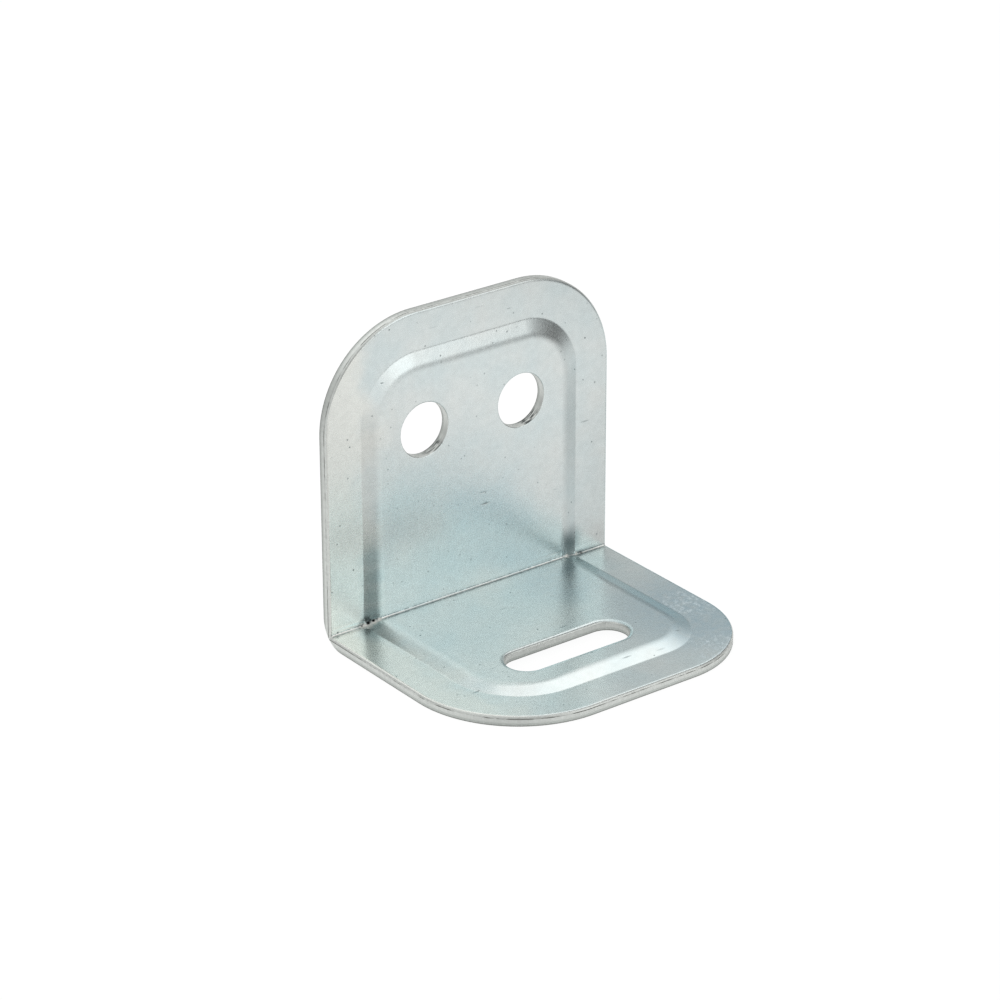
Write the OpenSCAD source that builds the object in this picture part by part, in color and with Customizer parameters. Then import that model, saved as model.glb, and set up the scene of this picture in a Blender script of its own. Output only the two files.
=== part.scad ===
// Angle bracket folded from one sheet of steel, one solid.
// The upright leg has two round holes, and the foot leg has one slot along the fold.
// The middle of both legs is pressed up into the angle, and a flat rim runs round it.
// Across the width is X, the foot points to -Y, up is Z, and the origin is at the middle
// of the base. Sizes are in millimetres.

/* [Sheet] */
// Width of both legs
width = 50; // [46:0.5:60]
// Height of the upright leg, from the base
height = 47.4; // [44:0.2:60]
// Depth of the foot leg, from the back
depth = 40; // [39:0.5:54]
// Thickness of the sheet
sheet = 1.5; // [1.2:0.1:1.9]
// Rounding that the shears leave round the inner edge
roll_r = 0.4; // [0.2:0.05:0.6]

/* [Fold] */
// Outer radius of the fold, at the rim
fold_r = 3.6; // [3.4:0.1:4.4]
// Inner radius of the fold, at the panel
crease_r = 0.6; // [0.3:0.05:0.8]

/* [Corners] */
// Corner radius at the top of the upright leg
top_r = 15.6; // [12:0.1:17]
// Corner radius at the front of the foot leg, left side
foot_left_r = 17.2; // [12:0.1:18]
// Corner radius at the front of the foot leg, right side
foot_right_r = 14.8; // [12:0.1:18]

/* [Pressed panel] */
// Width of the flat rim round the panel
rim_w = 5.8; // [4.8:0.1:6.6]
// Height of the panel over the rim
press_h = 0.7; // [0.5:0.05:0.85]
// Slope of the straight part of the ramp between the rim and the panel
ramp_slope = 16; // [13:0.5:20]
// Radius of the ramp's break from the rim
break_r = 1; // [0.5:0.1:2]
// Radius of the ramp's soft run into the panel
crest_r = 5; // [3:0.1:6]

/* [Round holes] */
// Diameter of both holes
hole_d = 8.2; // [5:0.1:9]
// Distance between the hole centres
hole_pitch = 17.1; // [14:0.1:18]
// Height of the hole centres over the base
hole_z = 29.5; // [24:0.5:32]

/* [Slot] */
// Length of the slot from end to end
slot_len = 20.7; // [14:0.1:24]
// Width of the slot
slot_w = 6.2; // [5:0.1:7.5]
// Distance of the slot's middle from the back of the bracket
slot_back = 24.8; // [20:0.1:26]
// Slot centre, off the middle of the bracket
slot_x = -0.6; // [-1:0.1:1]
// Width of the rounding that the punch leaves round the slot's mouth
mouth_w = 0.7; // [0.3:0.05:1]
// Depth of that rounding
mouth_h = 0.35; // [0.2:0.05:0.5]

/* [Hidden] */
// Parts drawn by name
// Part to draw, or all of them
// Smoothness of the round holes and the slot's ends
hole_fn = 72;
// Smoothness of the corners and of the fold
turn_fn = 64;
// Steps along the crest's arc in the ramp's section
arc_n = 6;
// Steps along the break's arc
break_n = 3;
// Steps along each rounded edge
edge_n = 4;
// Overshoot that keeps cuts clear of the faces they open into
clear = 1;
// A quarter turn
quarter = 90;
// Half of the width
half_w = width / 2;
// Y of the upright leg's back face
back_y = depth / 2;
// Length of the ramp's straight part
ramp_run = (press_h - (break_r + crest_r) * (1 - cos(ramp_slope))) / sin(ramp_slope);
// Width of the whole ramp
ramp_w = (break_r + crest_r) * sin(ramp_slope) + ramp_run * cos(ramp_slope);
// Height of the panel's inner face over the leg's outer face
panel_h = sheet + press_h;
// Distance of the crease's axis from both outer faces
crease_c = panel_h + crease_r;
// Colour of the zinc
zinc = [0.74, 0.78, 0.79];

bracket_if_chosen();

module bracket_if_chosen() {
    bracket();
}

// Points in the opposite order
function reversed(points) = [for (i = [len(points) - 1 : -1 : 0]) points[i]];

// The ramp's line in a section that ends in the leg's edge at x = run, from the panel down to
// the rim. Both faces share the arcs' centres, so the sheet keeps its thickness: under is 0 on
// the inner face and the sheet's thickness on the outer face.
function ramp_line(run, under) =
    let (rim_x = run - rim_w, panel_x = rim_x - ramp_w)
    concat(
        [for (i = [0 : arc_n]) let (a = ramp_slope * i / arc_n)
            [panel_x + (crest_r - under) * sin(a), panel_h - crest_r + (crest_r - under) * cos(a)]],
        [for (i = [break_n : -1 : 0]) let (a = ramp_slope * i / break_n)
            [rim_x - (break_r + under) * sin(a), sheet + break_r - (break_r + under) * cos(a)]]
    );

// The rounded inner edge in the same section, from the inner face down to the sheared face
function roll_line(run) =
    [for (i = [0 : edge_n]) let (a = quarter * i / edge_n)
        [run - roll_r * (1 - sin(a)), sheet - roll_r * (1 - cos(a))]];

// Inner face of the section, from the middle of the panel out to the edge
function inner_line(run) = concat([[0, panel_h]], ramp_line(run, 0), roll_line(run));

// Section through the sheet, from the panel at x = 0 to the edge at x = run
module sheet_section(run) {
    polygon(concat(
        [[0, press_h]],
        ramp_line(run, sheet),
        [[run, 0]],
        reversed(inner_line(run))
    ));
}

// Right half of a leg: x from its middle line, y from the fold, z from its outer face
module half_leg(reach, corner_r) {
    corner_y = reach - corner_r;
    translate([0, corner_y, 0])
        rotate([quarter, 0, 0])
            linear_extrude(height = corner_y - fold_r)
                sheet_section(half_w);
    translate([0, corner_y, 0])
        rotate([quarter, 0, quarter])
            linear_extrude(height = half_w - corner_r)
                sheet_section(corner_r);
    translate([half_w - corner_r, corner_y, 0])
        rotate_extrude(angle = quarter, $fn = turn_fn)
            sheet_section(corner_r);
}

// Both halves of a leg, each with its own corner
module leg(reach, left_r, right_r) {
    half_leg(reach, right_r);
    mirror([1, 0, 0])
        half_leg(reach, left_r);
}

// Outer face at the fold, as distance from the outer axis by x
module outer_turn() {
    polygon(concat(
        [[0, 0], [fold_r - press_h, 0]],
        [for (p = ramp_line(half_w, sheet)) [fold_r - p[1], p[0]]],
        [[fold_r, half_w], [0, half_w]]
    ));
}

// Room inside the fold, as distance from the crease's axis by x
module inner_turn() {
    polygon(concat(
        [[0, 0]],
        [for (p = inner_line(half_w)) [crease_c - p[1], p[0]]],
        [[crease_c - sheet + roll_r, half_w + clear], [0, half_w + clear]]
    ));
}

// Room over the inner face of the section
module open_section() {
    far = fold_r + clear;
    polygon(concat(
        [[0, far]],
        inner_line(half_w),
        [[half_w + clear, sheet - roll_r], [half_w + clear, far]]
    ));
}

// Right half of the fold: a turned outer side, with the angle between the legs cut out of it
// as a turn about the crease's axis and a straight run on both sides
module half_fold() {
    run = fold_r + clear - crease_c;
    difference() {
        translate([0, back_y - fold_r, fold_r])
            rotate([0, quarter, 0])
                rotate_extrude(angle = quarter, $fn = turn_fn)
                    outer_turn();
        translate([0, back_y - crease_c, crease_c])
            rotate([0, quarter, 0])
                rotate_extrude(angle = quarter, $fn = turn_fn)
                    inner_turn();
        translate([0, back_y - crease_c, 0])
            rotate([quarter, 0, 0])
                linear_extrude(height = run)
                    open_section();
        translate([0, back_y, crease_c])
            mirror([0, 1, 0])
                linear_extrude(height = run)
                    open_section();
    }
}

// Both round holes, through the upright leg's panel
module holes() {
    for (side = [-1, 1])
        translate([side * hole_pitch / 2, back_y + clear, hole_z])
            rotate([quarter, 0, 0])
                cylinder(h = panel_h + 2 * clear, d = hole_d, $fn = hole_fn);
}

// Half of the slot's section with its rounded mouth, x from the slot's middle plane
module slot_section() {
    polygon(concat(
        [[0, -clear], [slot_w / 2, -clear]],
        [for (i = [0 : edge_n]) let (a = quarter * i / edge_n)
            [slot_w / 2 + mouth_w * (1 - cos(a)), panel_h - mouth_h * (1 - sin(a))]],
        [[slot_w / 2 + mouth_w, panel_h + clear], [0, panel_h + clear]]
    ));
}

// The slot, along X
module slot() {
    run = slot_len - slot_w;
    translate([slot_x, back_y - slot_back, 0])
        for (side = [0, 1])
            rotate([0, 0, side * 2 * quarter]) {
                translate([run / 2, 0, 0])
                    rotate([0, 0, -quarter])
                        rotate_extrude(angle = 2 * quarter, $fn = hole_fn)
                            slot_section();
                translate([-run / 2, 0, 0])
                    rotate([quarter, 0, quarter])
                        linear_extrude(height = run)
                            slot_section();
            }
}

// The whole bracket
module bracket() {
    color(zinc)
        difference() {
            union() {
                translate([0, back_y, 0])
                    mirror([0, 1, 0])
                        leg(depth, foot_left_r, foot_right_r);
                translate([0, back_y, 0])
                    rotate([quarter, 0, 0])
                        leg(height, top_r, top_r);
                half_fold();
                mirror([1, 0, 0])
                    half_fold();
            }
            holes();
            slot();
        }
}
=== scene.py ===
import bpy
import bmesh
import math
from mathutils import Matrix, Vector, noise


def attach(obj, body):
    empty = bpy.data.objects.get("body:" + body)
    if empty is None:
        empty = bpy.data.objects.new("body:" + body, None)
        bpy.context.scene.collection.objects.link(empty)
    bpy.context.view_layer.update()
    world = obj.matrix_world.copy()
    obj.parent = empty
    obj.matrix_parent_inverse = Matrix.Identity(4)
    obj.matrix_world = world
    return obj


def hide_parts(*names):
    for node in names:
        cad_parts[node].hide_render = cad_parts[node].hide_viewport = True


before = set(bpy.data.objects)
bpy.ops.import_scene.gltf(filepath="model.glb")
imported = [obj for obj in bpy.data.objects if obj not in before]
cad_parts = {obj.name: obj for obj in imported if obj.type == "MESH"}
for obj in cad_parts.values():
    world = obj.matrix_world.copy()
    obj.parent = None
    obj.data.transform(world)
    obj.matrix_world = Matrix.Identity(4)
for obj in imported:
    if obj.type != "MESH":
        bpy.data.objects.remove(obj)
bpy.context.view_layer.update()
mm = 0.001


def linearColor(hexText, alpha=1.0):
    # sRGB hex to the linear values that Blender wants
    parts = [int(hexText[i:i + 2], 16) / 255 for i in (1, 3, 5)]
    line = [p / 12.92 if p <= 0.04045 else ((p + 0.055) / 1.055) ** 2.4 for p in parts]
    return (*line, alpha)


def addNode(tree, kind, settings=None, inputs=None, links=None):
    # one node: plain attributes, socket values, and links as {socket: (node, output)}
    node = tree.nodes.new(kind)
    for name, value in (settings or {}).items():
        setattr(node, name, value)
    for name, value in (inputs or {}).items():
        node.inputs[name].default_value = value
    for name, (source, output) in (links or {}).items():
        tree.links.new(source.outputs[output], node.inputs[name])
    return node


# every length in millimetres, as in the CAD source
bracketSheet = {
    "width": 50.0,
    "height": 47.4,
    "depth": 40.0,
    "sheet": 1.5,
    "rimW": 5.8,          # flat rim round the pressed panel
    "pressH": 0.7,        # how far the panel stands over the rim
    "rampSlope": 16.0,    # degrees, along the straight part of the ramp
    "breakR": 1.0,        # the ramp breaks sharply from the rim and runs softly into the panel
    "crestR": 5.0,
    "rollR": 0.4,         # arris rolled over by the shears
    "burrR": 0.07,        # small break on the lower arris
    "foldR": (4.0, 3.3),  # outer radius of the fold at its left and right end
    "creaseR": (0.34, 0.24),
    "topR": 15.6,
    "footLeftR": 17.2,
    "footRightR": 14.8,
    "crestSteps": 14,
    "breakSteps": 6,
    "cornerSteps": 30,
    "foldSteps": 10,
    "support": 0.2,       # flat margin beside every curve, keeps the flats flat in the shading
    "nearFold": [0.1, 0.2, 0.3, 0.42, 0.56, 0.72, 0.9, 1.1, 1.35, 1.7, 2.2, 3.0],
}

bracketHoles = {
    "holeD": 8.2,
    "pitch": 17.1,
    "holeZ": 29.5,
    "slotLen": 20.7,
    "slotW": 6.2,
    "slotBack": 24.8,
    "slotX": -0.6,
    "slotMouthW": 0.7,
    "slotMouthH": 0.35,
    "holeMouthW": 0.18,
    "holeMouthH": 0.12,
    "backBreak": 0.08,
    "ringSteps": 96,
}

# the crushed spots where the ramp crosses the fold: (x, degrees round the bend, width, height)
bracketPinch = {
    "lumps": [(-19.05, 42, 0.50, 0.20), (-18.1, 30, 0.62, 0.26), (-17.2, 45, 0.4, 0.12),
              (19.1, 88, 0.35, 0.12), (17.1, 62, 0.9, 0.07), (21.0, 70, 0.5, 0.05), (23.2, 70, 0.5, 0.05)],
    "pits": [(-18.5, 72, 0.26, 0.40), (-17.7, 84, 0.24, 0.34), (-18.15, 98, 0.16, 0.2),
             (-19.55, 66, 0.15, 0.24), (-19.35, 92, 0.12, 0.16), (-18.9, 104, 0.12, 0.16),
             (-17.15, 88, 0.15, 0.2), (20.3, 58, 0.16, 0.2), (19.75, 80, 0.10, 0.12)],
    "wrinkleMm": 0.06,
    # darker patches round them: (x, degrees round the bend, reach in mm, share)
    "darkPatches": [(-18.6, 100, 1.3, 0.75), (-19.6, 80, 0.8, 0.6), (-17.4, 100, 0.8, 0.5),
                (20.2, 62, 0.6, 0.45)],
}

halfW = bracketSheet["width"] / 2
backY = bracketSheet["depth"] / 2
panelH = bracketSheet["sheet"] + bracketSheet["pressH"]
rampSlope = math.radians(bracketSheet["rampSlope"])
arcSum = bracketSheet["breakR"] + bracketSheet["crestR"]
rampRun = (bracketSheet["pressH"] - arcSum * (1 - math.cos(rampSlope))) / math.sin(rampSlope)
rampW = arcSum * math.sin(rampSlope) + rampRun * math.cos(rampSlope)
panelInset = bracketSheet["rimW"] + rampW


def rampLine(run, under):
    # from the panel down to the rim, as (place, height); under is 0 or the sheet's thickness
    s = bracketSheet
    rimX, panelX = run - s["rimW"], run - panelInset
    line = []
    for i in range(s["crestSteps"] + 1):
        a = rampSlope * i / s["crestSteps"]
        r = s["crestR"] - under
        line.append((panelX + r * math.sin(a), panelH - s["crestR"] + r * math.cos(a)))
    for i in range(s["breakSteps"], -1, -1):
        a = rampSlope * i / s["breakSteps"]
        r = s["breakR"] + under
        line.append((rimX - r * math.sin(a), s["sheet"] + s["breakR"] - r * math.cos(a)))
    before, after = line[s["crestSteps"]], line[s["crestSteps"] + 1]
    near = [tuple(p + (q - p) * t for p, q in zip(before, after)) for t in (0.08, 0.92)]
    return line[:s["crestSteps"] + 1] + near + line[s["crestSteps"] + 1:]


def sheetSection(run, stops):
    # outer face, sheared edge and inner face as (place, height, onInner), panel first and last
    s = bracketSheet
    rimX, panelX = run - s["rimW"], run - panelInset
    flat = [0.0] + sorted(stops) + [panelX - s["support"]]
    outer = [(x, s["pressH"], False) for x in flat]
    outer += [(x, w, False) for x, w in rampLine(run, s["sheet"])]
    outer += [(rimX + s["support"], 0, False), (run - s["burrR"] - s["support"], 0, False)]
    for i in range(3):
        a = math.radians(45 * i)
        outer.append((run - s["burrR"] * (1 - math.sin(a)), s["burrR"] * (1 - math.cos(a)), False))
    edge = []
    for i in range(9):
        a = math.radians(90 * i / 8)
        edge.append((run - s["rollR"] * (1 - math.cos(a)), s["sheet"] - s["rollR"] * (1 - math.sin(a)),
                     True))
    inner = [(run - s["rollR"] - s["support"], s["sheet"], True), (rimX + s["support"], s["sheet"], True)]
    inner += [(x, w, True) for x, w in reversed(rampLine(run, 0))]
    inner += [(x, panelH, True) for x in reversed(flat)]
    return outer + edge + inner


def footPoint(x, w, v):
    return Vector((x, backY - v, w))


def uprightPoint(x, w, v):
    return Vector((x, backY - w, v))


def foldRadius(x, inner):
    # the bend is a little tighter at its right end
    left, right = bracketSheet["creaseR" if inner else "foldR"]
    return left + (right - left) * (x + halfW) / bracketSheet["width"]


def foldStart(x, w, inner):
    # where a line of the section leaves the leg for the bend
    return (w if inner else 0) + foldRadius(x, inner)


def foldPoint(x, w, inner, angle):
    # the outer face turns about one axis, each line of the inner face about its own
    axis = foldStart(x, w, inner)
    r = axis - w
    return Vector((x, backY - axis + r * math.sin(angle), axis - r * math.cos(angle)))


def extrudeRow(bm, verts, edges, places):
    # carries a row of the section to new places and gives the new row back in the same order
    keys = {tuple(round(c, 6) for c in v.co): i for i, v in enumerate(verts)}
    out = bmesh.ops.extrude_edge_only(bm, edges=edges)["geom"]
    row = [None] * len(verts)
    for v in (g for g in out if isinstance(g, bmesh.types.BMVert)):
        row[keys[tuple(round(c, 6) for c in v.co)]] = v
    for v, place in zip(row, places):
        v.co = place
    return row, [bm.edges.get((row[i], row[i + 1])) for i in range(len(row) - 1)]


def legEnd(bm, side, verts, edges, section, cornerR, pivot, axis):
    # from the leg's last straight row: the turned corner, then the strip across to the middle line
    s = bracketSheet
    start = halfW - cornerR
    keep = [i for i, (x, w, inner) in enumerate(section) if x > start - 1e-6]
    partVerts = [verts[i] for i in keep]
    partEdges = [edges[i] for i in keep[:-1]]
    turned = bmesh.ops.spin(bm, geom=partVerts + partEdges, cent=pivot, axis=axis,
                            angle=math.pi / 2, steps=s["cornerSteps"])["geom_last"]
    lastEdges = [g for g in turned if isinstance(g, bmesh.types.BMEdge)]
    across = bmesh.ops.extrude_edge_only(bm, edges=lastEdges)["geom"]
    lastVerts = [g for g in across if isinstance(g, bmesh.types.BMVert)]
    bmesh.ops.translate(bm, verts=lastVerts, vec=Vector((-side * start, 0, 0)))


def halfSheet(bm, side, footR, otherFootR):
    # one half of the bracket: a section carried from the foot through the fold up the upright leg
    s = bracketSheet
    footEnd, topEnd = s["depth"] - footR, s["height"] - s["topR"]
    otherEnd = s["depth"] - otherFootR
    stops = {halfW - footR, halfW - s["topR"]}
    if otherEnd > footEnd:
        stops.add(halfW - footR + otherEnd - footEnd)   # meets the other half's corner row
    section = sheetSection(halfW, stops)
    verts = [bm.verts.new(footPoint(side * x, w, footEnd)) for x, w, inner in section]
    edges = [bm.edges.new((verts[i], verts[i + 1])) for i in range(len(verts) - 1)]
    first, firstEdges = verts, edges
    if otherEnd < footEnd:
        verts, edges = extrudeRow(bm, verts, edges,
                                  [footPoint(side * x, w, otherEnd) for x, w, i in section])
    near = [0.0] + s["nearFold"]
    for d in reversed(near):
        places = [footPoint(side * x, w, foldStart(side * x, w, inner) + d) for x, w, inner in section]
        verts, edges = extrudeRow(bm, verts, edges, places)
    for k in range(1, s["foldSteps"] + 1):
        a = math.pi / 2 * k / s["foldSteps"]
        places = [foldPoint(side * x, w, inner, a) for x, w, inner in section]
        verts, edges = extrudeRow(bm, verts, edges, places)
    for d in near[1:]:
        places = [uprightPoint(side * x, w, foldStart(side * x, w, inner) + d) for x, w, inner in section]
        verts, edges = extrudeRow(bm, verts, edges, places)
    verts, edges = extrudeRow(bm, verts, edges,
                              [uprightPoint(side * x, w, topEnd) for x, w, i in section])
    legEnd(bm, side, verts, edges, section, s["topR"],
           Vector((side * (halfW - s["topR"]), backY, topEnd)), Vector((0, -side, 0)))
    legEnd(bm, side, first, firstEdges, section, footR,
           Vector((side * (halfW - footR), backY - footEnd, 0)), Vector((0, 0, -side)))


def edgeDistance(x, v, reach, leftR, rightR):
    # how far a point of a leg lies inside its outline
    r = rightR if x > 0 else leftR
    dx, dv = halfW - abs(x), reach - v
    if dx < r and dv < r:
        return r - math.hypot(r - dx, r - dv)
    return min(dx, dv)


def clearPanel(bm, upright, inner):
    # takes out the flat middle of one face of a leg and gives back the edges round the gap
    s = bracketSheet
    reach = s["height"] if upright else s["depth"]
    radii = (s["topR"], s["topR"]) if upright else (s["footLeftR"], s["footRightR"])
    level = panelH if inner else s["pressH"]
    flatInset = panelInset + s["support"] - 1e-4

    def onPanel(co):
        v, w = (co.z, backY - co.y) if upright else (backY - co.y, co.z)
        beyondFold = v > foldStart(co.x, level, inner) + s["nearFold"][-1] - 1e-4
        return abs(w - level) < 1e-4 and beyondFold and edgeDistance(co.x, v, reach, *radii) > flatInset

    gone = {f for f in bm.faces if all(onPanel(v.co) for v in f.verts)}
    rim = [e for e in {e for f in gone for e in f.edges} if any(f not in gone for f in e.link_faces)]
    bmesh.ops.delete(bm, geom=list(gone), context="FACES")
    return rim


def holeRings(bm, upright, centre, run, radius, mouthW, mouthH):
    # a ring of edges on the inner face, led through the sheet ring by ring, to one on the outer face
    h, s = bracketHoles, bracketSheet
    profile = [(radius + mouthW + s["support"], panelH)]
    for i in range(9):
        a = math.radians(90 * i / 8)
        profile.append((radius + mouthW * (1 - math.sin(a)), panelH - mouthH * (1 - math.cos(a))))
    low = s["pressH"]
    profile += [(radius, low + h["backBreak"]),
                (radius + h["backBreak"] * 0.3, low + h["backBreak"] * 0.3),
                (radius + h["backBreak"], low), (radius + h["backBreak"] + s["support"], low)]
    n = h["ringSteps"]
    made = bmesh.ops.create_circle(bm, cap_ends=False, segments=n, radius=1.0)["verts"]
    bmesh.ops.rotate(bm, verts=made, cent=(0, 0, 0), matrix=Matrix.Rotation(math.pi / n, 3, "Z"))
    unit = [v.co.copy() for v in made]
    edges = list({e for v in made for e in v.link_edges})

    def ringPlace(u, r, w):
        x = centre[0] + u.x * r + (math.copysign(run / 2, u.x) if run else 0)
        v = centre[1] + u.y * r
        return uprightPoint(x, w, v) if upright else footPoint(x, w, v)

    verts = list(made)
    for v, u in zip(verts, unit):
        v.co = ringPlace(u, *profile[0])
    firstRing = list(edges)
    for r, w in profile[1:]:
        keys = {tuple(round(c, 6) for c in v.co): i for i, v in enumerate(verts)}
        out = bmesh.ops.extrude_edge_only(bm, edges=edges)["geom"]
        row = [None] * n
        for g in out:
            if isinstance(g, bmesh.types.BMVert):
                row[keys[tuple(round(c, 6) for c in g.co)]] = g
        edges = [g for g in out if isinstance(g, bmesh.types.BMEdge)
                 and all(v in set(row) for v in g.verts)]
        for v, u in zip(row, unit):
            v.co = ringPlace(u, r, w)
        verts = row
    return firstRing, edges


def pinchPlace(x, turn):
    # a spot on the inner face of the bend; past 90 degrees it runs on up the upright leg, and below 0 it
    # runs out along the foot
    s = bracketSheet
    onRamp = min(max((halfW - s["rimW"] - abs(x)) / rampW, 0), 1)
    spot = foldPoint(x, s["sheet"] + s["pressH"] * onRamp, True, math.radians(min(max(turn, 0), 90)))
    return spot + Vector((0, min(turn, 0), max(turn - 90, 0))) * 0.03


def crumple(bm):
    # the sheet is pinched where its ramp crosses the fold: small lumps, pits between them, wrinkles
    p = bracketPinch
    away = Vector((0, -math.sqrt(0.5), math.sqrt(0.5)))
    marks = [(pinchPlace(x, turn), size, high) for x, turn, size, high in p["lumps"]]
    marks += [(pinchPlace(x, turn), size, -deep) for x, turn, size, deep in p["pits"]]
    reach = bracketSheet["sheet"]
    for v in bm.verts:
        if v.co.y > backY - reach + 0.02 or v.co.z < reach - 0.02:
            continue
        lift = 0.0
        for spot, size, high in marks:
            d = (v.co - spot).length / size
            if d < 3:
                lift += high * math.exp(-d * d)
        if abs(lift) > 1e-4:
            v.co += away * (lift + p["wrinkleMm"] * noise.noise(v.co * 4.0))


def edgePlace(co):
    # place along the sheared edge and in the sheet's thickness: (mm along, mm across, mm in the sheet),
    # with ten added to the last for the slot; round holes give (degrees round, side, 20 + mm in the sheet)
    upright = co.z > backY - co.y
    v, w = (co.z, backY - co.y) if upright else (backY - co.y, co.z)
    h = bracketHoles
    alongSlot, acrossSlot = abs(co.x - h["slotX"]), abs(v - h["slotBack"])
    if not upright and alongSlot < h["slotLen"] / 2 + 1 and acrossSlot < h["slotW"] / 2 + 1:
        return Vector((co.x, v, w - bracketSheet["pressH"] + 10))
    for side in (-1, 1):
        x, z = co.x - side * h["pitch"] / 2, v - h["holeZ"]
        if upright and math.hypot(x, z) < h["holeD"] / 2 + 1:
            return Vector((math.degrees(math.atan2(z, x)), side, w - bracketSheet["pressH"] + 20))
    return Vector((co.x, v, w))


def markEdges(mesh):
    # the sheared faces get the second material: outline with its rolled arris, fold ends, holes and slot
    for face in mesh.polygons:
        c, n = face.center / mm, face.normal
        onUpright = c.z > backY - c.y
        through = abs(n.y if onUpright else n.z)
        onFoldEnd = halfW - abs(c.x) < bracketSheet["rollR"] and abs(n.x) > 0.6
        if onFoldEnd or (through < 0.8 and max(c.z, backY - c.y) > bracketSheet["foldR"][0]):
            face.material_index = 1
    place = mesh.attributes.new("edgePlace", "FLOAT_VECTOR", "POINT")
    for vert, slot in zip(mesh.vertices, place.data):
        slot.vector = edgePlace(vert.co / mm)


def makeBracket():
    s, h = bracketSheet, bracketHoles
    bm = bmesh.new()
    halfSheet(bm, 1, s["footRightR"], s["footLeftR"])
    halfSheet(bm, -1, s["footLeftR"], s["footRightR"])
    bmesh.ops.remove_doubles(bm, verts=bm.verts, dist=1e-3)
    # the seam between the halves and the axis points have left faces without area
    bmesh.ops.dissolve_degenerate(bm, edges=bm.edges, dist=1e-4)
    print("sheet swept,", len(bm.faces), "faces, open edges:", sum(e.is_boundary for e in bm.edges))
    gaps = {(upright, inner): clearPanel(bm, upright, inner)
            for upright in (True, False) for inner in (True, False)}
    for side in (-1, 1):
        rings = holeRings(bm, True, (side * h["pitch"] / 2, h["holeZ"]), 0.0, h["holeD"] / 2,
                          h["holeMouthW"], h["holeMouthH"])
        gaps[True, True] += rings[0]
        gaps[True, False] += rings[1]
    rings = holeRings(bm, False, (h["slotX"], h["slotBack"]), h["slotLen"] - h["slotW"],
                      h["slotW"] / 2, h["slotMouthW"], h["slotMouthH"])
    gaps[False, True] += rings[0]
    gaps[False, False] += rings[1]
    for edges in gaps.values():
        bmesh.ops.triangle_fill(bm, edges=edges, use_beauty=True)
    crumple(bm)
    bmesh.ops.recalc_face_normals(bm, faces=bm.faces)
    print("holes cut, open edges:", sum(e.is_boundary for e in bm.edges),
          "loose:", sum(not e.link_faces for e in bm.edges), "volume mm3:", round(bm.calc_volume(), 1))
    bmesh.ops.scale(bm, vec=(mm, mm, mm), verts=bm.verts)
    mesh = bpy.data.meshes.new("bracketSheet")
    bm.to_mesh(mesh)
    bm.free()
    mesh.shade_smooth()
    mesh.set_sharp_from_angle(angle=math.radians(40))
    markEdges(mesh)
    piece = bpy.data.objects.new("bracketSheet", mesh)
    bpy.context.scene.collection.objects.link(piece)
    return piece


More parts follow.
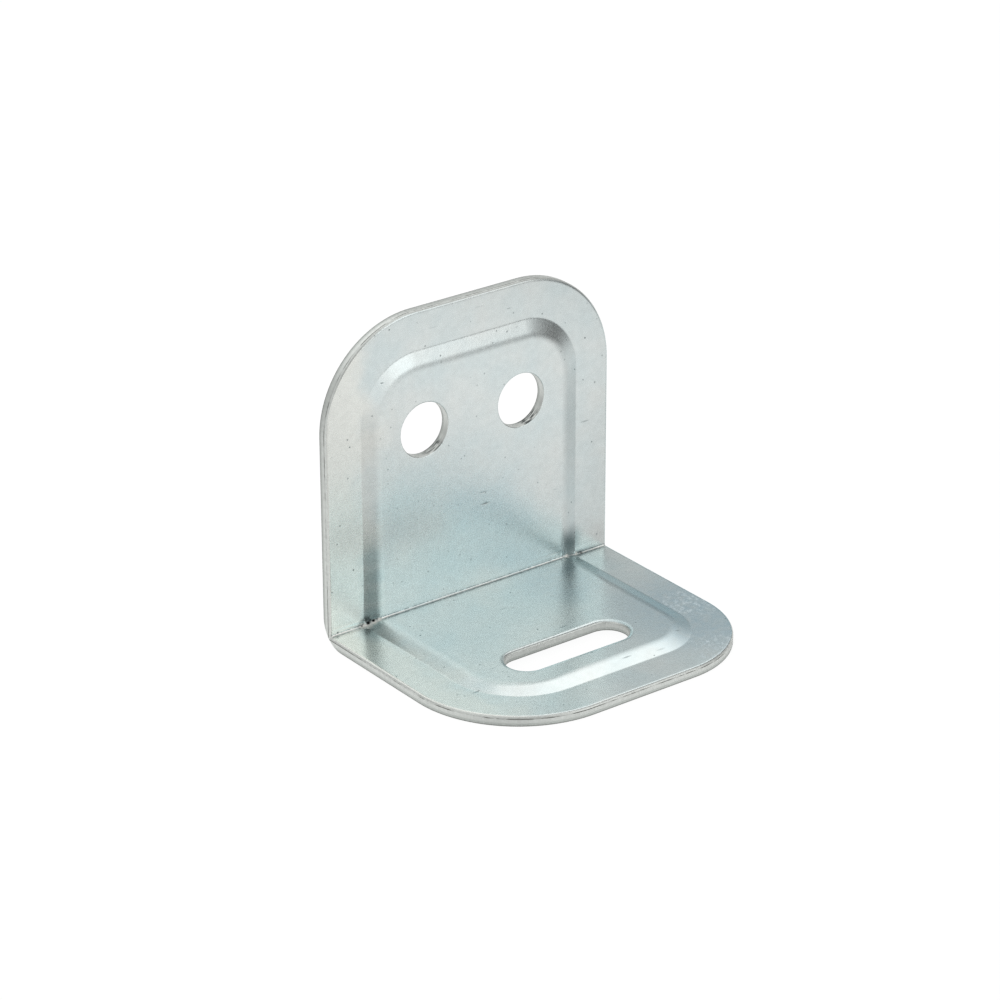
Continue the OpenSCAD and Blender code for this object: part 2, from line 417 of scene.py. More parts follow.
zincPlate = {
    "bright": "#DEE3E1",      # fresh zinc
    "blue": "#D6E0E0",        # where the passivation is thicker
    "grazing": "#DEF9FF",     # the passivation film turns blue-green at a low angle
    "bluerFilmAndReflection": "#B8C9D0",     # bluer, duller film on the foot's right side, partly a painted reflection
    "speck": "#6A7474",       # pinholes
    "scratch": "#8A9494",
    "pit": "#121516",         # near-black at the bottom of the pits at the left crossing
    "darkening": "#5A6464",        # painted shade beside the crease, and near-black round the pits
    "crushed": "#F2F1EC",     # painted highlight on the crushed spots and along the crease
    "worn": "#DAE5E9",        # rubbed flecks on the foot's rim
    "thinFilmAndReflection": "#E7E9E4",       # thinner film on the left side, partly a painted reflection
    # painted shade low on the upright's right ramp
    "rampShade": "#687D82",
    "teal": "#8CB4B6",        # bluer film low on the left ramp, partly a painted reflection of the foot
    # noises as (width in mm, detail, roughness): film clouds, patchy crystals, the plating's crystal grain,
    # drawn coarser than real so that it shows, slow waves of the sheet, torn flecks
    "noises": {
        "cloud": (9.0, 3.0, 0.55), "mottle": (1.1, 3.0, 0.6), "grain": (0.3, 1.5, 0.5),
        "wave": (6.0, 2.0, 0.5), "flecks": (0.8, 4.0, 0.75),
    },
    "shades": {"mottle": (0.96, 1.035), "grain": (0.97, 1.025)},    # darkest and lightest crystals
    # relief as (strength, mm); the marks go inward
    "relief": {"grain": (0.5, 0.008), "mottle": (0.5, 0.012), "wave": (0.5, 0.03), "marks": (0.8, 0.02)},
    # pinholes, then short scratches two ways: (turn, stretch, spacing in mm, width, share kept, colour)
    "marks": [
        ((0, 0, 0), 1.0, 1.7, 0.1, 0.85, "speck"), ((0.5, 0.9, 0.3), 0.16, 1.9, 0.085, 0.55, "scratch"),
        ((-0.7, 0.4, 1.1), 0.22, 1.6, 0.075, 0.55, "scratch"),
    ],
    "roughness": 0.275,
    "roughSpread": 0.02,      # the grain scatters the gloss by this much
    "rougher": {"rubbed": 0.14, "crease": 0.08, "crushed": 0.25},
    "creaseNear": (0.3, 0.75),    # the crease's own share fades out between these, in mm
    # bands along the crease, painted shade at its sides and a painted highlight in its middle, as (place
    # off it, full to, gone at, share, flecks from, to), in mm
    "creaseBands": {"line": (0.27, 0.03, 0.1, 0.75, 0.4, 0.54), "bare": (0.0, 0.06, 0.16, 1.0, 0.56, 0.46)},
    "innerFrom": 1.4,         # faces further than this in mm from both outer faces are inner faces
    # noise levels between which the flecks break up the rubbed places, the crushed spots' painted
    # highlights and the darker patches
    "flecked": {"rubbed": (0.5, 0.66), "crushed": (0.32, 0.42), "smudge": (0.42, 0.52)},
    # the bluer side, partly a painted reflection, as (x, y, reach in mm, share), and rubbed flecks on its
    # rim as (x, y, reach)
    "bluerFilmAndReflectionAt": [(23.5, -7.5, 18.5, 1.0), (11.0, 11.0, 9.0, 0.5)],
    "bluerFilmAndReflectionPatchy": 0.45,    # what the mottle leaves of the film at least
    "rubbed": [(22.6, -4.0, 6.0), (17.0, -17.2, 6.5)],
    "thinFilmAndReflectionX": (-8.0, -14.0),  # the film thins out between these and leaves the left side brighter, partly by painted reflection
    "thinFilmAndReflectionDrift": 14.0,       # how far the clouds move that border, in mm
    # painted shade low on the upright's right ramp, a bluer film partly painted reflection on its left
    # ramp: (x, y, z, reach, share)
    "rampShadeAt": [(18.0, 17.9, 4.4, 3.2, 0.65)],
    "tealAt": [(-17.9, 18, 3, 2.6, 0.4), (-17.9, 18, 6, 2.6, 0.35), (-17.9, 18, 9, 2.6, 0.3),
               (-17.9, 18, 12, 2.6, 0.25)],
    # where the painted highlight along the crease shows: (x, reach, share)
    "creaseHighlightAt": [(-22.3, 4.5, 1.0), (-15.3, 3.4, 0.9), (0.0, 11.0, 0.25), (12.5, 4.0, 1.0), (22.0, 4.5, 0.9)],
    # painted highlights on the crushed spots where the ramp crosses the fold: (x, degrees round the bend,
    # reach in mm)
    "crushedHighlightAt": [(-19.3, 8, 0.75), (-18.6, -8, 0.8), (-17.7, 0, 0.75), (-16.9, 20, 0.6), (19.3, 84, 0.4),
                  (17.0, 30, 0.8)],
}


def zincMaterial():
    # bright zinc plating with a clear blue passivation on cold-rolled sheet: a soft blurred mirror,
    # cool tint, fine grain, a few pinholes, short scratches and rubbed places
    z = zincPlate
    mat = bpy.data.materials.new("blue passivated zinc plate")
    mat.use_nodes = True
    tree = mat.node_tree
    tree.nodes.clear()
    out = addNode(tree, "ShaderNodeOutputMaterial")
    place = (addNode(tree, "ShaderNodeTexCoord"), "Object")
    noises = {}
    for name, (size, detail, rough) in z["noises"].items():
        made = addNode(tree, "ShaderNodeTexNoise", inputs={"Scale": 1 / (size * mm), "Detail": detail,
                       "Roughness": rough}, links={"Vector": place})
        noises[name] = (made, "Fac")
    # soft round places: (kind, place, part of the reach that is full, reach in mm, share), from which
    # areas gets each kind's highest share at a point
    areas = {}
    spots = [("bluerFilmAndReflection", (x * mm, y * mm, 0.0015), 0.3, reach, share)
             for x, y, reach, share in z["bluerFilmAndReflectionAt"]]
    spots += [("rubbed", (x * mm, y * mm, 0.0015), 0.35, reach, 1.0) for x, y, reach in z["rubbed"]]
    spots += [(name, Vector(spot) * mm, 0.1, reach, share) for name in ("rampShade", "teal")
              for *spot, reach, share in z[name + "At"]]
    spots += [("bare", tuple(pinchPlace(x, 45) * mm), 0.5, reach, share)
              for x, reach, share in z["creaseHighlightAt"]]
    spots += [("crushed", tuple(pinchPlace(x, turn) * mm), 0.4, reach, 1.0)
              for x, turn, reach in z["crushedHighlightAt"]]
    spots += [("darkening", tuple(pinchPlace(x, turn) * mm), 0.4, size * 1.7, min(deep * 3.0, 1.0))
              for x, turn, size, deep in bracketPinch["pits"]]
    spots += [("smudge", tuple(pinchPlace(x, turn) * mm), 0.2, reach, share)
              for x, turn, reach, share in bracketPinch["darkPatches"]]
    for name, spot, core, reach, share in spots:
        off = addNode(tree, "ShaderNodeVectorMath", {"operation": "DISTANCE"}, {1: spot}, {0: place})
        area = addNode(tree, "ShaderNodeMapRange", {"interpolation_type": "SMOOTHSTEP"},
                       {"From Min": reach * core * mm, "From Max": reach * mm, "To Min": share,
                        "To Max": 0.0}, {"Value": (off, "Value")})
        area = (area, "Result")
        if name in areas:
            area = (addNode(tree, "ShaderNodeMath", {"operation": "MAXIMUM"},
                            links={0: areas[name], 1: area}), "Value")
        areas[name] = area
    # flecks break up the rubbed places, the crushed spots' painted highlights and the darker patches
    for name, (low, high) in z["flecked"].items():
        flecked = addNode(tree, "ShaderNodeMapRange", inputs={"From Min": low, "From Max": high},
                          links={"Value": noises["flecks"]})
        areas[name] = (addNode(tree, "ShaderNodeMath", {"operation": "MULTIPLY"},
                               links={0: areas[name], 1: (flecked, "Result")}), "Value")
    # how close a point of the inner faces lies to the crease, in metres, and the crease's own share
    parts = addNode(tree, "ShaderNodeSeparateXYZ", links={"Vector": place})
    fromBack = addNode(tree, "ShaderNodeMath", {"operation": "SUBTRACT"}, {0: backY * mm},
                       {1: (parts, "Y")})
    least = addNode(tree, "ShaderNodeMath", {"operation": "MINIMUM"},
                    links={0: (fromBack, "Value"), 1: (parts, "Z")})
    apart = addNode(tree, "ShaderNodeMath", {"operation": "SUBTRACT"},
                    links={0: (fromBack, "Value"), 1: (parts, "Z")})
    apart = addNode(tree, "ShaderNodeMath", {"operation": "ABSOLUTE"}, links={0: (apart, "Value")})
    near = addNode(tree, "ShaderNodeMapRange",
                   inputs={"From Min": z["creaseNear"][0] * mm, "From Max": z["creaseNear"][1] * mm,
                           "To Min": 1.0, "To Max": 0.0}, links={"Value": (apart, "Value")})
    inside = addNode(tree, "ShaderNodeMath", {"operation": "GREATER_THAN"}, {1: z["innerFrom"] * mm},
                     {0: (least, "Value")})
    crease = addNode(tree, "ShaderNodeMath", {"operation": "MULTIPLY"},
                     links={0: (near, "Result"), 1: (inside, "Value")})
    for name in ("rampShade", "teal", "smudge", "darkening", "crushed"):
        areas[name] = (addNode(tree, "ShaderNodeMath", {"operation": "MULTIPLY"},
                               links={0: areas[name], 1: (inside, "Value")}), "Value")
    # painted shade sits in two broken lines at the crease's sides, and a painted highlight runs along its
    # middle in places
    for name, (beside, low, high, share, begin, end) in z["creaseBands"].items():
        off = addNode(tree, "ShaderNodeMath", {"operation": "SUBTRACT"}, {1: beside * mm},
                      {0: (apart, "Value")})
        off = addNode(tree, "ShaderNodeMath", {"operation": "ABSOLUTE"}, links={0: (off, "Value")})
        band = addNode(tree, "ShaderNodeMapRange",
                       inputs={"From Min": low * mm, "From Max": high * mm, "To Min": share,
                               "To Max": 0.0}, links={"Value": (off, "Value")})
        broken = addNode(tree, "ShaderNodeMapRange", inputs={"From Min": begin, "From Max": end},
                         links={"Value": noises["flecks"]})
        band = addNode(tree, "ShaderNodeMath", {"operation": "MULTIPLY"},
                       links={0: (band, "Result"), 1: (inside, "Value")})
        band = addNode(tree, "ShaderNodeMath", {"operation": "MULTIPLY"},
                       links={0: (band, "Value"), 1: (broken, "Result")})
        if name in areas:
            band = addNode(tree, "ShaderNodeMath", {"operation": "MULTIPLY"},
                           links={0: (band, "Value"), 1: areas[name]})
        areas[name] = (band, "Value")
    # colour: film clouds, then light and dark crystals, a few per cent either way; a noise keeps
    # between 0.3 and 0.7 nearly everywhere
    cloudy = addNode(tree, "ShaderNodeMapRange", inputs={"From Min": 0.35, "From Max": 0.65},
                     links={"Value": noises["cloud"]})
    tint = addNode(tree, "ShaderNodeMix", {"data_type": "RGBA"},
                   {"A": linearColor(z["bright"]), "B": linearColor(z["blue"])},
                   {"Factor": (cloudy, "Result")})
    uneven = addNode(tree, "ShaderNodeMapRange",
                     inputs={"From Min": 0.3, "From Max": 0.7, "To Min": z["bluerFilmAndReflectionPatchy"],
                             "To Max": 1.0}, links={"Value": noises["mottle"]})
    bluerFilmAndReflection = addNode(tree, "ShaderNodeMath", {"operation": "MULTIPLY"},
                      links={0: areas["bluerFilmAndReflection"], 1: (uneven, "Result")})
    drift = addNode(tree, "ShaderNodeMath", {"operation": "MULTIPLY_ADD"}, {1: z["thinFilmAndReflectionDrift"] * mm},
                    {0: noises["cloud"], 2: (parts, "X")})
    thinFilmAndReflection = addNode(tree, "ShaderNodeMapRange", {"interpolation_type": "SMOOTHSTEP"},
                    {"From Min": z["thinFilmAndReflectionX"][1] * mm, "From Max": z["thinFilmAndReflectionX"][0] * mm, "To Min": 1.0,
                     "To Max": 0.0}, {"Value": (drift, "Value")})
    mixed = (tint, "Result")
    # the ramp shade is painted shade; the bluer side, the thinner left film and the teal are partly painted
    # reflection
    for share, name in (((bluerFilmAndReflection, "Value"), "bluerFilmAndReflection"), ((thinFilmAndReflection, "Result"), "thinFilmAndReflection"),
                        (areas["rampShade"], "rampShade"), (areas["teal"], "teal")):
        mixed = (addNode(tree, "ShaderNodeMix", {"data_type": "RGBA"}, {"B": linearColor(z[name])},
                         {"Factor": share, "A": mixed}), "Result")
    for source, (low, high) in z["shades"].items():
        share = addNode(tree, "ShaderNodeMapRange",
                        inputs={"From Min": 0.3, "From Max": 0.7, "To Min": low, "To Max": high},
                        links={"Value": noises[source]})
        mixed = (addNode(tree, "ShaderNodeVectorMath", {"operation": "SCALE"},
                         links={0: mixed, "Scale": (share, "Result")}), "Vector")
    # pinholes from round cells and short scratches from long ones, some of them left out; the width is
    # in cells
    marks = None
    for turn, stretch, spacing, wide, kept, color in z["marks"]:
        drawn = addNode(tree, "ShaderNodeMapping",
                        inputs={"Rotation": turn, "Scale": (stretch, 1.0, 1.0)}, links={"Vector": place})
        cells = addNode(tree, "ShaderNodeTexVoronoi", inputs={"Scale": 1 / (spacing * mm)},
                        links={"Vector": (drawn, "Vector")})
        line = addNode(tree, "ShaderNodeMapRange",
                       inputs={"From Min": wide * 0.4, "From Max": wide, "To Min": 1.0, "To Max": 0.0},
                       links={"Value": (cells, "Distance")})
        dice = addNode(tree, "ShaderNodeSeparateColor", links={"Color": (cells, "Color")})
        some = addNode(tree, "ShaderNodeMath", {"operation": "LESS_THAN"}, {1: kept}, {0: (dice, "Red")})
        mark = addNode(tree, "ShaderNodeMath", {"operation": "MULTIPLY"},
                       links={0: (line, "Result"), 1: (some, "Value")})
        # each mark is as dark as its own cell's number
        mark = (addNode(tree, "ShaderNodeMath", {"operation": "MULTIPLY"},
                        links={0: (mark, "Value"), 1: (dice, "Green")}), "Value")
        marks = mark if marks is None else (addNode(tree, "ShaderNodeMath", {"operation": "MAXIMUM"},
                                                    links={0: marks, 1: mark}), "Value")
        mixed = (addNode(tree, "ShaderNodeMix", {"data_type": "RGBA"}, {"B": linearColor(z[color])},
                         {"Factor": mark, "A": mixed}), "Result")
    # the crease's dark lines are painted shade, its bright middle and the crushed spots painted highlights
    for name, color in (("rubbed", "worn"), ("line", "darkening"), ("bare", "crushed"), ("smudge", "pit"),
                        ("crushed", "crushed"), ("darkening", "pit")):
        mixed = (addNode(tree, "ShaderNodeMix", {"data_type": "RGBA"}, {"B": linearColor(z[color])},
                         {"Factor": areas[name], "A": mixed}), "Result")
    # gloss: the grain scatters it, the crease and the rubbed places are duller
    rough = (addNode(tree, "ShaderNodeMapRange",
                     inputs={"From Min": 0.3, "From Max": 0.7,
                             "To Min": z["roughness"] - z["roughSpread"],
                             "To Max": z["roughness"] + z["roughSpread"]},
                     links={"Value": noises["grain"]}), "Result")
    areas["crease"] = (crease, "Value")
    for name, more in z["rougher"].items():
        rough = (addNode(tree, "ShaderNodeMath", {"operation": "MULTIPLY_ADD"}, {1: more},
                         {0: areas[name], 2: rough}), "Value")
    noises["marks"] = marks
    bump = None
    for name, (strength, high) in z["relief"].items():
        made = addNode(tree, "ShaderNodeBump", {"invert": name == "marks"},
                       {"Strength": strength, "Distance": high * mm},
                       {"Height": noises[name], **({"Normal": bump} if bump else {})})
        bump = (made, "Normal")
    shader = addNode(tree, "ShaderNodeBsdfPrincipled",
                     inputs={"Metallic": 1.0, "Specular Tint": linearColor(z["grazing"])},
                     links={"Base Color": mixed, "Roughness": rough, "Normal": bump})
    tree.links.new(shader.outputs["BSDF"], out.inputs["Surface"])
    return mat


shearedEdge = {
    "burnished": "#E3E7E3",
    "torn": "#D2D7D3",
    "line": "#5F605B",        # painted shade line along the rolled arris
    "lineAt": 1.12,           # where the rolled arris begins, in the sheet's thickness
    "lineMm": 0.06,
    "lowerLine": "#747672",   # painted contact shadow along the lower arris
    "tornTo": 0.5,            # the shears cut the inner part clean and tear the rest
    "streak": "#4C504F",      # painted shade in streaks low on the right of the round holes' walls
    "streakAt": (-62, 34),    # their middle and half length, in degrees round the hole
    "shades": (0.87, 1.05),   # darkest and lightest streak of the shears
    "lower": (0.06, 0.24, 0.8),    # the lower arris's painted shadow: full up to, gone from, share
    "metallic": 0.75,
    "satin": (0.4, 0.55),     # roughness of the clean and of the torn zone
    "reliefMm": 0.02,
}


def edgeMaterial():
    # zinc over a sheared edge: satin and light grey, mottled, with a broken line of painted shade along the
    # rolled arris, a torn zone next to the outer face and painted contact shadow on the lower arris
    e = shearedEdge
    mat = bpy.data.materials.new("zinc plated sheared edge")
    mat.use_nodes = True
    tree = mat.node_tree
    tree.nodes.clear()
    out = addNode(tree, "ShaderNodeOutputMaterial")
    along = (addNode(tree, "ShaderNodeAttribute", {"attribute_name": "edgePlace"}), "Vector")
    parts = addNode(tree, "ShaderNodeSeparateXYZ", links={"Vector": along})
    # upright streaks of the shears, a few tenths of a millimetre wide, and patches of a few millimetres
    stretched = addNode(tree, "ShaderNodeMapping", inputs={"Scale": (2.2, 2.2, 0.4)},
                        links={"Vector": along})
    streaks = addNode(tree, "ShaderNodeTexNoise", inputs={"Scale": 1.0, "Detail": 4.0, "Roughness": 0.65},
                      links={"Vector": (stretched, "Vector")})
    patches = addNode(tree, "ShaderNodeTexNoise", inputs={"Scale": 0.5, "Detail": 3.0},
                      links={"Vector": along})
    # streaks round the holes: long round the wall, fine through the sheet
    rounded = addNode(tree, "ShaderNodeMapping", inputs={"Scale": (0.05, 1.0, 6.0)},
                      links={"Vector": along})
    fine = addNode(tree, "ShaderNodeTexNoise", inputs={"Scale": 1.0, "Detail": 2.0},
                   links={"Vector": (rounded, "Vector")})
    wander = addNode(tree, "ShaderNodeMath", {"operation": "MULTIPLY_ADD"},
                     {1: 0.5, 2: e["tornTo"] - 0.25}, {0: (streaks, "Fac")})
    height = addNode(tree, "ShaderNodeMath", {"operation": "MODULO"}, {1: 10.0}, {0: (parts, "Z")})
    below = addNode(tree, "ShaderNodeMath", {"operation": "SUBTRACT"},
                    links={0: (wander, "Value"), 1: (height, "Value")})
    torn = addNode(tree, "ShaderNodeMapRange", {"interpolation_type": "SMOOTHSTEP"},
                   {"From Min": -0.12, "From Max": 0.12}, {"Value": (below, "Value")})
    color = addNode(tree, "ShaderNodeMix", {"data_type": "RGBA"},
                    {"A": linearColor(e["burnished"]), "B": linearColor(e["torn"])},
                    {"Factor": (torn, "Result")})
    shade = addNode(tree, "ShaderNodeMapRange",
                    inputs={"From Min": 0.3, "From Max": 0.7, "To Min": e["shades"][0],
                            "To Max": e["shades"][1]}, links={"Value": (streaks, "Fac")})
    color = addNode(tree, "ShaderNodeVectorMath", {"operation": "SCALE"},
                    links={0: (color, "Result"), "Scale": (shade, "Result")})
    # a broken line of painted shade along the rolled arris
    off = addNode(tree, "ShaderNodeMath", {"operation": "SUBTRACT"}, {1: e["lineAt"]}, {0: (parts, "Z")})
    off = addNode(tree, "ShaderNodeMath", {"operation": "ABSOLUTE"}, links={0: (off, "Value")})
    line = addNode(tree, "ShaderNodeMapRange", {"interpolation_type": "SMOOTHSTEP"},
                   {"From Min": e["lineMm"] * 0.4, "From Max": e["lineMm"] * 1.6, "To Min": 1.0,
                    "To Max": 0.0}, {"Value": (off, "Value")})
    broken = addNode(tree, "ShaderNodeMapRange",
                     inputs={"From Min": 0.4, "From Max": 0.55, "To Min": 0.15, "To Max": 1.0},
                     links={"Value": (patches, "Fac")})
    line = addNode(tree, "ShaderNodeMath", {"operation": "MULTIPLY"},
                   links={0: (line, "Result"), 1: (broken, "Result")})
    # painted contact shadow along the lower arris
    lower = addNode(tree, "ShaderNodeMapRange",
                    inputs={"From Min": e["lower"][0], "From Max": e["lower"][1], "To Min": e["lower"][2],
                            "To Max": 0.0}, links={"Value": (height, "Value")})
    # the painted shade: only on round holes, only round its place on the wall
    middle, half = e["streakAt"]
    turned = addNode(tree, "ShaderNodeMath", {"operation": "SUBTRACT"}, {1: middle}, {0: (parts, "X")})
    turned = addNode(tree, "ShaderNodeMath", {"operation": "ABSOLUTE"}, links={0: (turned, "Value")})
    span = addNode(tree, "ShaderNodeMapRange", {"interpolation_type": "SMOOTHSTEP"},
                   {"From Min": half * 0.4, "From Max": half, "To Min": 1.0, "To Max": 0.0},
                   {"Value": (turned, "Value")})
    onHole = addNode(tree, "ShaderNodeMath", {"operation": "GREATER_THAN"}, {1: 15.0}, {0: (parts, "Z")})
    dark = addNode(tree, "ShaderNodeMapRange", inputs={"From Min": 0.42, "From Max": 0.55},
                   links={"Value": (fine, "Fac")})
    streak = addNode(tree, "ShaderNodeMath", {"operation": "MULTIPLY"},
                     links={0: (span, "Result"), 1: (onHole, "Value")})
    streak = addNode(tree, "ShaderNodeMath", {"operation": "MULTIPLY"},
                     links={0: (streak, "Value"), 1: (dark, "Result")})
    color = (color, "Vector")
    # painted shade: contact shadow on the lower arris, a line along the rolled arris, and the holes' darker
    # side
    for share, name in (((lower, "Result"), "lowerLine"), ((line, "Value"), "line"),
                        ((streak, "Value"), "streak")):
        color = (addNode(tree, "ShaderNodeMix", {"data_type": "RGBA"}, {"B": linearColor(e[name])},
                         {"Factor": share, "A": color}), "Result")
    rough = addNode(tree, "ShaderNodeMapRange", inputs={"To Min": e["satin"][0], "To Max": e["satin"][1]},
                    links={"Value": (torn, "Result")})
    bump = addNode(tree, "ShaderNodeBump", inputs={"Strength": 0.5, "Distance": e["reliefMm"] * mm},
                   links={"Height": (streaks, "Fac")})
    shader = addNode(tree, "ShaderNodeBsdfPrincipled", inputs={"Metallic": e["metallic"]},
                     links={"Base Color": color, "Roughness": (rough, "Result"),
                            "Normal": (bump, "Normal")})
    tree.links.new(shader.outputs["BSDF"], out.inputs["Surface"])
    return mat


bracketPiece = makeBracket()
bracketPiece.data.materials.append(zincMaterial())
bracketPiece.data.materials.append(edgeMaterial())
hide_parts("bracket")
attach(bracketPiece, "root")
print("bracket made,", len(bracketPiece.data.polygons), "faces")


stage = {
    "floorHalf": 3.0,
    "floorColor": "#F4F4F3",
    "whiteShare": 0.85,       # how much of the floor's white is free of shading
    "whiteGlow": 1.08,
    "paperGlow": 0.905,       # what the metal sees of the paper
    "underGlow": -0.214,      # the paper under the bracket lies in its shadow
    "underHalf": (23, 18),    # half width and depth of that shadow in mm
    "underSoft": 4,           # how soft its border is, in mm either way
    # the paper's lighting further off: (azimuth, half width in degrees, from mm, to mm, gain)
    "sweeps": [(45, 45, 100, 300, -0.5), (90, 45, 100, 300, 0.279), (33, 24, 120, 260, -0.3),
               (228, 42, 40, 200, -0.34)],
    # lamp pools and shadows on the paper: (x, y, reach in mm, gain)
    "pools": [
        (75, 5, 60, 0.164), (50, -60, 55, 0.183), (190, -120, 110, -0.38), (29, 14, 9, -0.2),
        (40, 10, 24, -0.16), (72, 0, 42, -0.468), (-45, -55, 60, -0.282),
    ],
}

# the studio as the metal sees it, angles in degrees, azimuth from the right side round to the front
studio = {
    "walls": 0.645,
    # tall window: its sharp and soft edges as (azimuth, softness from, to), its lean, top and gain
    "window": {"sharp": (54, -0.03, 0.07), "soft": (84, -0.12, 0.25), "lean": 0.15, "top": (-0.9, -0.45),
               "gain": 0.663},
    # softboxes, and black flags where the gain is below zero: (azimuth, elevation, half width, gain)
    "panels": [
        (30, 0, 34, -0.338), (60, 0, 34, 0.134), (10, 26, 34, -0.279), (46, 26, 34, -0.08),
        (118, 26, 34, -0.345), (298, 26, 34, -0.448), (0, 50, 36, -0.283), (51, 50, 36, 0.332),
        (306, 50, 36, 0.638), (357, 50, 36, -0.167), (46, 6, 17, 0.04), (68, 3, 17, 0.428),
        (57, 25, 17, 0.15), (76, 27, 18, -0.483), (300, 25, 18, -0.047), (37, 46, 20, -0.216),
        (326, 47, 20, 0.42), (72, 40, 18, 0.475), (21, 25, 17, 0.4), (338, 54, 16, 0.35),
        (262, 38, 40, 0.5), (215, 12, 34, -0.3), (180, 50, 34, 0.3),
    ],
    "darkest": 0.04,
}

cameraSettings = {
    "azimuth": -37.192,
    "elevation": 24.977,
    "roll": -0.126,
    "aim": (0.00760, 0.02160, 0.01261),
    "distance": 0.54530,
    "focal": 134.85,
}


def toward(azimuth, elevation=0.0):
    # azimuth is counted from the right side round to the front
    az, el = math.radians(azimuth), math.radians(elevation)
    return (math.cos(el) * math.cos(az), -math.cos(el) * math.sin(az), math.sin(el))


def makeFloor():
    mesh = bpy.data.meshes.new("floor")
    bm = bmesh.new()
    bmesh.ops.create_grid(bm, x_segments=1, y_segments=1, size=stage["floorHalf"])
    bm.to_mesh(mesh)
    bm.free()
    floor = bpy.data.objects.new("floor", mesh)
    bpy.context.scene.collection.objects.link(floor)
    # matt white paper: the lens sees it white with a trace of shadow, the metal sees the pools of light
    # and the shadows that the lamps leave on it
    mat = bpy.data.materials.new("matt white sweep paper")
    mat.use_nodes = True
    tree = mat.node_tree
    tree.nodes.clear()
    out = addNode(tree, "ShaderNodeOutputMaterial")
    paper = addNode(tree, "ShaderNodeBsdfDiffuse", inputs={"Color": linearColor(stage["floorColor"])})
    place = (addNode(tree, "ShaderNodeTexCoord"), "Object")
    glow = stage["paperGlow"]
    parts = addNode(tree, "ShaderNodeSeparateXYZ", links={"Vector": place})
    soft, inside = stage["underSoft"] * mm, []
    for side, half in zip("XY", stage["underHalf"]):
        off = addNode(tree, "ShaderNodeMath", {"operation": "ABSOLUTE"}, links={0: (parts, side)})
        inside.append(addNode(tree, "ShaderNodeMapRange", {"interpolation_type": "SMOOTHSTEP"},
                              {"From Min": half * mm - soft, "From Max": half * mm + soft, "To Min": 1.0,
                               "To Max": 0.0}, {"Value": (off, "Value")}))
    under = addNode(tree, "ShaderNodeMath", {"operation": "MULTIPLY"},
                    links={0: (inside[0], "Result"), 1: (inside[1], "Result")})
    level = addNode(tree, "ShaderNodeMath", {"operation": "MULTIPLY_ADD"},
                    {1: stage["underGlow"], 2: glow}, {0: (under, "Value")})
    away = addNode(tree, "ShaderNodeVectorMath", {"operation": "LENGTH"}, links={0: place})
    way = addNode(tree, "ShaderNodeVectorMath", {"operation": "NORMALIZE"}, links={0: place})
    for azimuth, half, near, far, gain in stage["sweeps"]:
        turned = addNode(tree, "ShaderNodeVectorMath", {"operation": "DOT_PRODUCT"}, {1: toward(azimuth)},
                         {0: (way, "Vector")})
        side = addNode(tree, "ShaderNodeMapRange", {"interpolation_type": "SMOOTHSTEP"},
                       {"From Min": math.cos(math.radians(half)), "From Max": 1.0, "To Max": gain},
                       {"Value": (turned, "Value")})
        off = addNode(tree, "ShaderNodeMapRange", {"interpolation_type": "SMOOTHSTEP"},
                      {"From Min": near * mm, "From Max": far * mm}, {"Value": (away, "Value")})
        level = addNode(tree, "ShaderNodeMath", {"operation": "MULTIPLY_ADD"},
                        links={0: (side, "Result"), 1: (off, "Result"), 2: (level, "Value")})
    for x, y, reach, gain in stage["pools"]:
        off = addNode(tree, "ShaderNodeVectorMath", {"operation": "DISTANCE"}, {1: (x * mm, y * mm, 0)},
                      {0: place})
        pool = addNode(tree, "ShaderNodeMapRange", {"interpolation_type": "SMOOTHSTEP"},
                       {"From Min": 0.0, "From Max": reach * mm, "To Min": gain, "To Max": 0.0},
                       {"Value": (off, "Value")})
        level = addNode(tree, "ShaderNodeMath", {"operation": "ADD"},
                        links={0: (level, "Value"), 1: (pool, "Result")})
    level = addNode(tree, "ShaderNodeMath", {"operation": "MAXIMUM"}, {1: studio["darkest"]},
                    {0: (level, "Value")})
    mirrored = addNode(tree, "ShaderNodeEmission", inputs={"Color": (1, 1, 1, 1)},
                       links={"Strength": (level, "Value")})
    white = addNode(tree, "ShaderNodeEmission",
                    inputs={"Color": (1, 1, 1, 1), "Strength": stage["whiteGlow"]})
    path = addNode(tree, "ShaderNodeLightPath")
    shares = []
    for ray, emission, share in (("Is Camera Ray", white, stage["whiteShare"]),
                                 ("Is Glossy Ray", mirrored, 1.0),
                                 ("Is Transmission Ray", mirrored, 1.0)):
        part = addNode(tree, "ShaderNodeMath", {"operation": "MULTIPLY"}, inputs={1: share},
                       links={0: (path, ray)})
        shares.append((part, emission))
    surface = (paper, "BSDF")
    for part, emission in shares:
        mixed = addNode(tree, "ShaderNodeMixShader",
                        links={"Fac": (part, "Value"), 1: surface, 2: (emission, "Emission")})
        surface = (mixed, "Shader")
    tree.links.new(surface[0].outputs[surface[1]], out.inputs["Surface"])
    floor.data.materials.append(mat)


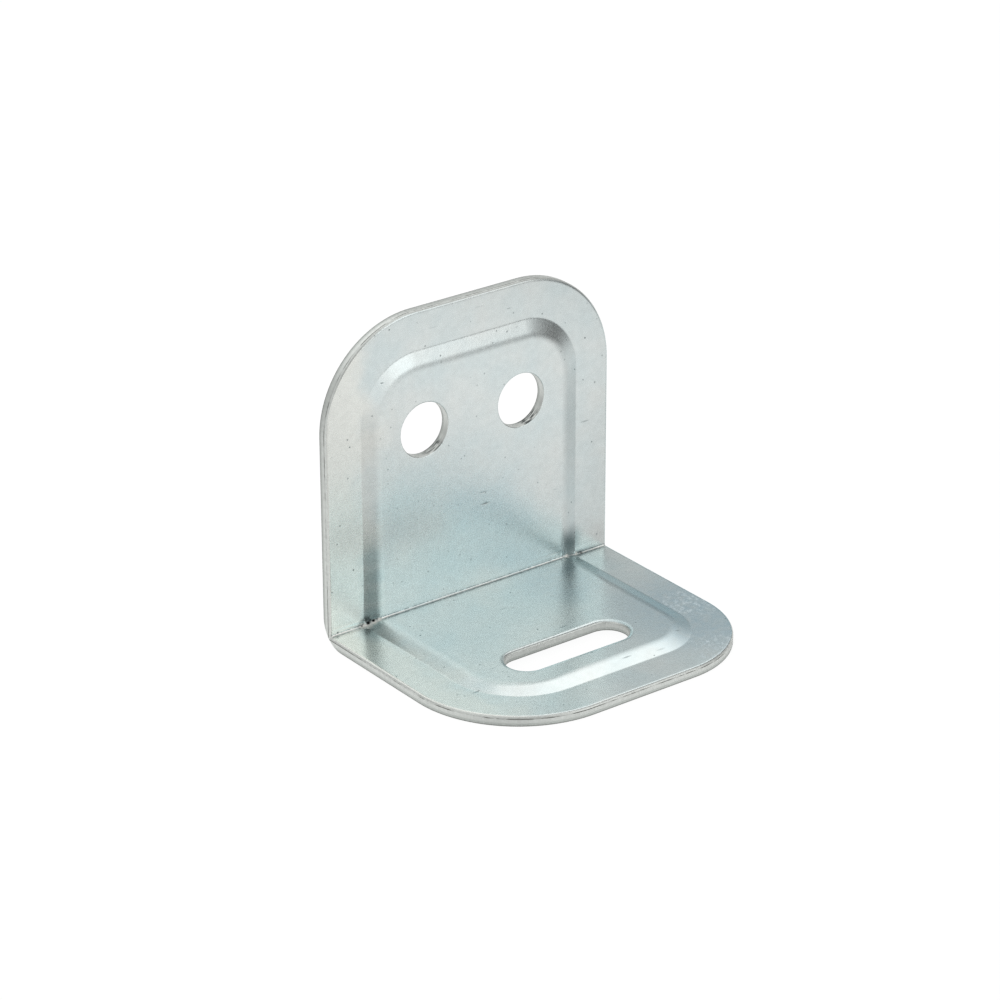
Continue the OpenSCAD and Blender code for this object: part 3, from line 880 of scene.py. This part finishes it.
def makeWorld():
    world = bpy.data.worlds.new("studio")
    bpy.context.scene.world = world
    world.use_nodes = True
    tree = world.node_tree
    tree.nodes.clear()
    out = addNode(tree, "ShaderNodeOutputWorld")
    path = addNode(tree, "ShaderNodeLightPath")
    way = (addNode(tree, "ShaderNodeTexCoord"), "Generated")
    # tall window at the front right, sharp towards the right and fading towards the camera
    w = studio["window"]
    (a, *sharp), (b, *soft) = w["sharp"], w["soft"]
    a, b = math.radians(a), math.radians(b)
    edges = [((-math.sin(a), -math.cos(a), w["lean"]), sharp),
             ((math.sin(b), math.cos(b), -w["lean"]), soft), ((0, 0, -1), w["top"])]
    level = None
    for direction, (low, high) in edges:
        turned = addNode(tree, "ShaderNodeVectorMath", {"operation": "DOT_PRODUCT"}, {1: direction},
                         {0: way})
        side = (addNode(tree, "ShaderNodeMapRange", {"interpolation_type": "SMOOTHSTEP"},
                        {"From Min": low, "From Max": high}, {"Value": (turned, "Value")}), "Result")
        level = side if level is None else (addNode(tree, "ShaderNodeMath", {"operation": "MULTIPLY"},
                                                    links={0: level, 1: side}), "Value")
    level = addNode(tree, "ShaderNodeMath", {"operation": "MULTIPLY_ADD"},
                    {1: w["gain"], 2: studio["walls"]}, {0: level})
    for azimuth, elevation, half, gain in studio["panels"]:
        turned = addNode(tree, "ShaderNodeVectorMath", {"operation": "DOT_PRODUCT"},
                         {1: toward(azimuth, elevation)}, {0: way})
        panel = addNode(tree, "ShaderNodeMapRange", {"interpolation_type": "SMOOTHSTEP"},
                        {"From Min": math.cos(math.radians(half)), "From Max": 1.0, "To Max": gain},
                        {"Value": (turned, "Value")})
        level = addNode(tree, "ShaderNodeMath", {"operation": "ADD"},
                        links={0: (level, "Value"), 1: (panel, "Result")})
    level = addNode(tree, "ShaderNodeMath", {"operation": "MAXIMUM"}, {1: studio["darkest"]},
                    {0: (level, "Value")})
    room = addNode(tree, "ShaderNodeBackground", inputs={"Color": (1, 1, 1, 1)},
                   links={"Strength": (level, "Value")})
    white = addNode(tree, "ShaderNodeBackground", inputs={"Color": (1, 1, 1, 1), "Strength": 1.0})
    mixed = addNode(tree, "ShaderNodeMixShader",
                    links={"Fac": (path, "Is Camera Ray"), 1: (room, "Background"),
                           2: (white, "Background")})
    tree.links.new(mixed.outputs["Shader"], out.inputs["Surface"])


def makeCamera():
    c = cameraSettings
    az, el, roll = (math.radians(c[k]) for k in ("azimuth", "elevation", "roll"))
    back = Vector((math.sin(az) * math.cos(el), -math.cos(az) * math.cos(el), math.sin(el)))
    right = Vector((math.cos(az), math.sin(az), 0))
    up = back.cross(right)
    turn = Matrix((right, up, back)).transposed()
    turn = turn @ Matrix.Rotation(roll, 3, "Z")
    data = bpy.data.cameras.new("camera")
    data.lens = c["focal"]
    data.sensor_width = 36
    data.clip_start, data.clip_end = 0.01, 20
    camera = bpy.data.objects.new("camera", data)
    bpy.context.scene.collection.objects.link(camera)
    camera.matrix_world = Matrix.Translation(Vector(c["aim"]) + back * c["distance"]) @ turn.to_4x4()
    bpy.context.scene.camera = camera


makeFloor()
makeWorld()
makeCamera()
bpy.context.scene.view_settings.view_transform = "Standard"
print("stage, studio and camera set")
